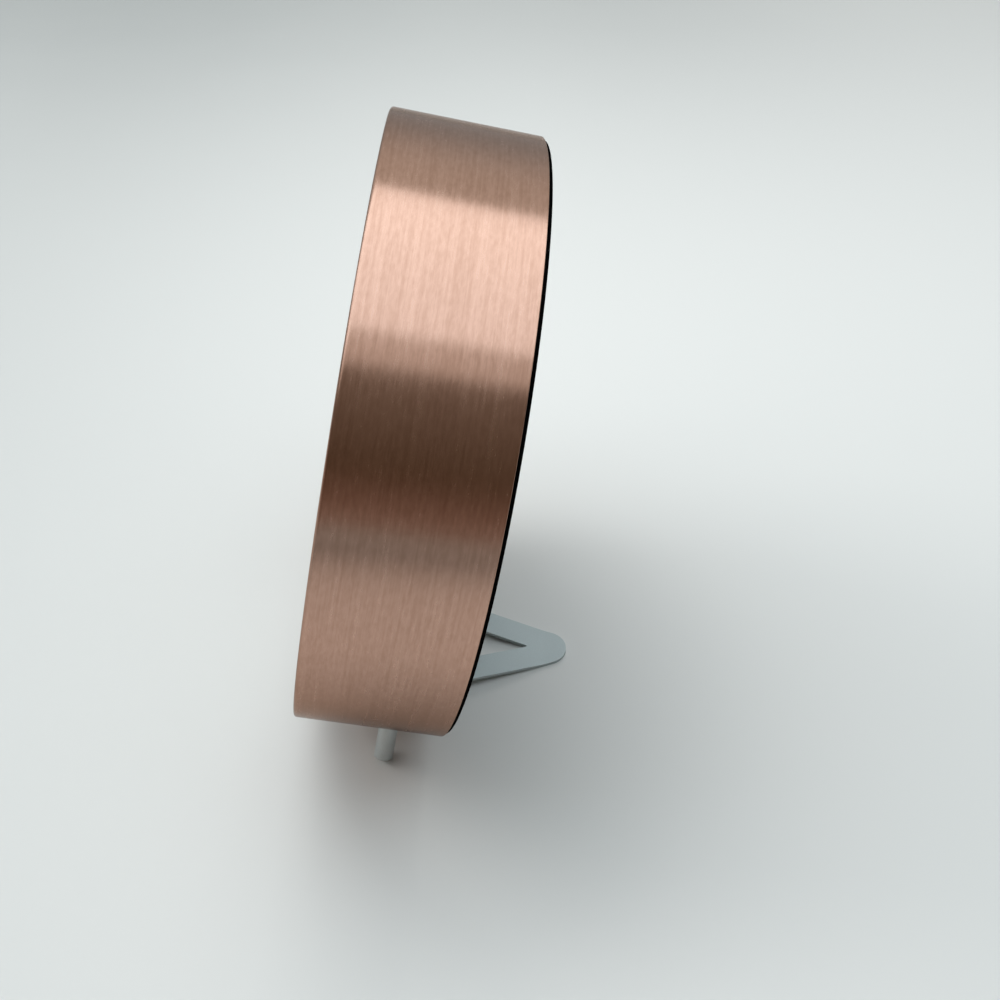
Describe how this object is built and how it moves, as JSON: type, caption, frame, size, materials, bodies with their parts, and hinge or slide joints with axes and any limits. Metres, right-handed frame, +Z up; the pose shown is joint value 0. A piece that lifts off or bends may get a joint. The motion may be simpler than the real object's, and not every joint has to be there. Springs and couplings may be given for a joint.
{
  "type": "table clock",
  "caption": "Round table clock in a brushed copper-coloured drum, leaning back on peg feet and a bent sheet leg, with hands, quartz wheel train and setting knob.",
  "frame": {"origin": "centre of the overall box, on the table the clock stands on", "axes": "+Z up, the face looks towards -Y and leans back towards +Y, +X to the right as the face is read"},
  "size_m": [0.16, 0.0784, 0.1695],
  "materials": {
    "copper_band": "copper-plated, brushed round the drum",
    "lens_glass": "clear, polished",
    "white_ring": "satin white",
    "dial_face": "printed off-white",
    "black_plastic": "fine-grained black",
    "satin_steel": "satin grey",
    "dark_screws": "black-zinc",
    "bright_steel": "zinc-plated",
    "rubber_pad": "matt",
    "brass": "turned",
    "ivory_plastic": "moulded",
    "soft_iron": "annealed strip",
    "copper_wire": "enamelled wire",
    "board_green": "solder resist",
    "battery_wrap": "plain printed wrap over metal ends",
    "black_hands": "satin black",
    "copper_hand": "copper-coloured"
  },
  "bodies": {
    "case": {"case_band": "copper_band", "lens": "lens_glass", "spacer_ring": "white_ring", "dial": "dial_face", "dial_carrier": "black_plastic", "back_cover": "black_plastic", "cover_screws": "dark_screws", "front_foot_left": "satin_steel", "front_foot_right": "satin_steel", "foot_washers": "bright_steel", "foot_nuts": "bright_steel", "rear_leg": "satin_steel", "leg_screws": "dark_screws", "movement_washer": "rubber_pad", "bush_washer": "brass", "bush_nut": "brass", "movement_case": "black_plastic", "movement_cover": "black_plastic", "train_bridge": "ivory_plastic", "stator": "soft_iron", "coil_core": "soft_iron", "coil_bobbin": "ivory_plastic", "coil_winding": "copper_wire", "circuit_board": "board_green", "quartz_crystal": "bright_steel", "battery": "battery_wrap", "battery_contacts": "bright_steel"},
    "seconds": {"second_wheel": "ivory_plastic", "second_hand": "copper_hand"},
    "third": {"third_wheel": "ivory_plastic"},
    "centre": {"centre_wheel": "ivory_plastic"},
    "intermediate": {"intermediate_wheel": "ivory_plastic"},
    "rotor": {"rotor": "soft_iron"},
    "minutes": {"minute_arbor": "brass", "minute_hand": "black_hands"},
    "motion": {"motion_wheel": "ivory_plastic"},
    "hours": {"hour_wheel": "ivory_plastic", "hour_hand": "black_hands"},
    "setting": {"setting_arbor": "bright_steel", "setting_knob": "black_plastic"}
  },
  "joints": [
    {"name": "second_spin", "type": "hinge", "parent": "case", "child": "seconds", "pos_m": [0, 0.0066, 0.08522], "axis": [0, 0.9781, -0.2079], "continuous": true},
    {"name": "third_spin", "type": "hinge", "parent": "case", "child": "third", "pos_m": [0.00264, 0.00865, 0.09485], "axis": [0, 0.9781, -0.2079], "continuous": true},
    {"name": "centre_spin", "type": "hinge", "parent": "case", "child": "centre", "pos_m": [0, 0.0066, 0.08522], "axis": [0, 0.9781, -0.2079], "continuous": true},
    {"name": "intermediate_spin", "type": "hinge", "parent": "case", "child": "intermediate", "pos_m": [0.01064, 0.00621, 0.08338], "axis": [0, 0.9781, -0.2079], "continuous": true},
    {"name": "rotor_spin", "type": "hinge", "parent": "case", "child": "rotor", "pos_m": [0.01432, 0.00765, 0.09015], "axis": [0, 0.9781, -0.2079], "continuous": true},
    {"name": "minute_spin", "type": "hinge", "parent": "case", "child": "minutes", "pos_m": [0, 0.0066, 0.08522], "axis": [0, 0.9781, -0.2079], "continuous": true},
    {"name": "motion_spin", "type": "hinge", "parent": "case", "child": "motion", "pos_m": [-0.0084, 0.0066, 0.08522], "axis": [0, 0.9781, -0.2079], "continuous": true},
    {"name": "hour_spin", "type": "hinge", "parent": "case", "child": "hours", "pos_m": [0, 0.0066, 0.08522], "axis": [0, 0.9781, -0.2079], "continuous": true},
    {"name": "setting_spin", "type": "hinge", "parent": "case", "child": "setting", "pos_m": [-0.0126, 0.00811, 0.09233], "axis": [0, 0.9781, -0.2079], "continuous": true}
  ],
  "couplings": [
    {"joint": "third_spin", "follows": "second_spin", "ratio": -0.13333},
    {"joint": "centre_spin", "follows": "second_spin", "ratio": 0.016667},
    {"joint": "intermediate_spin", "follows": "second_spin", "ratio": -5},
    {"joint": "rotor_spin", "follows": "second_spin", "ratio": 30},
    {"joint": "motion_spin", "follows": "minute_spin", "ratio": -0.33333},
    {"joint": "hour_spin", "follows": "minute_spin", "ratio": 0.083333},
    {"joint": "setting_spin", "follows": "minute_spin", "ratio": 1}
  ]
}
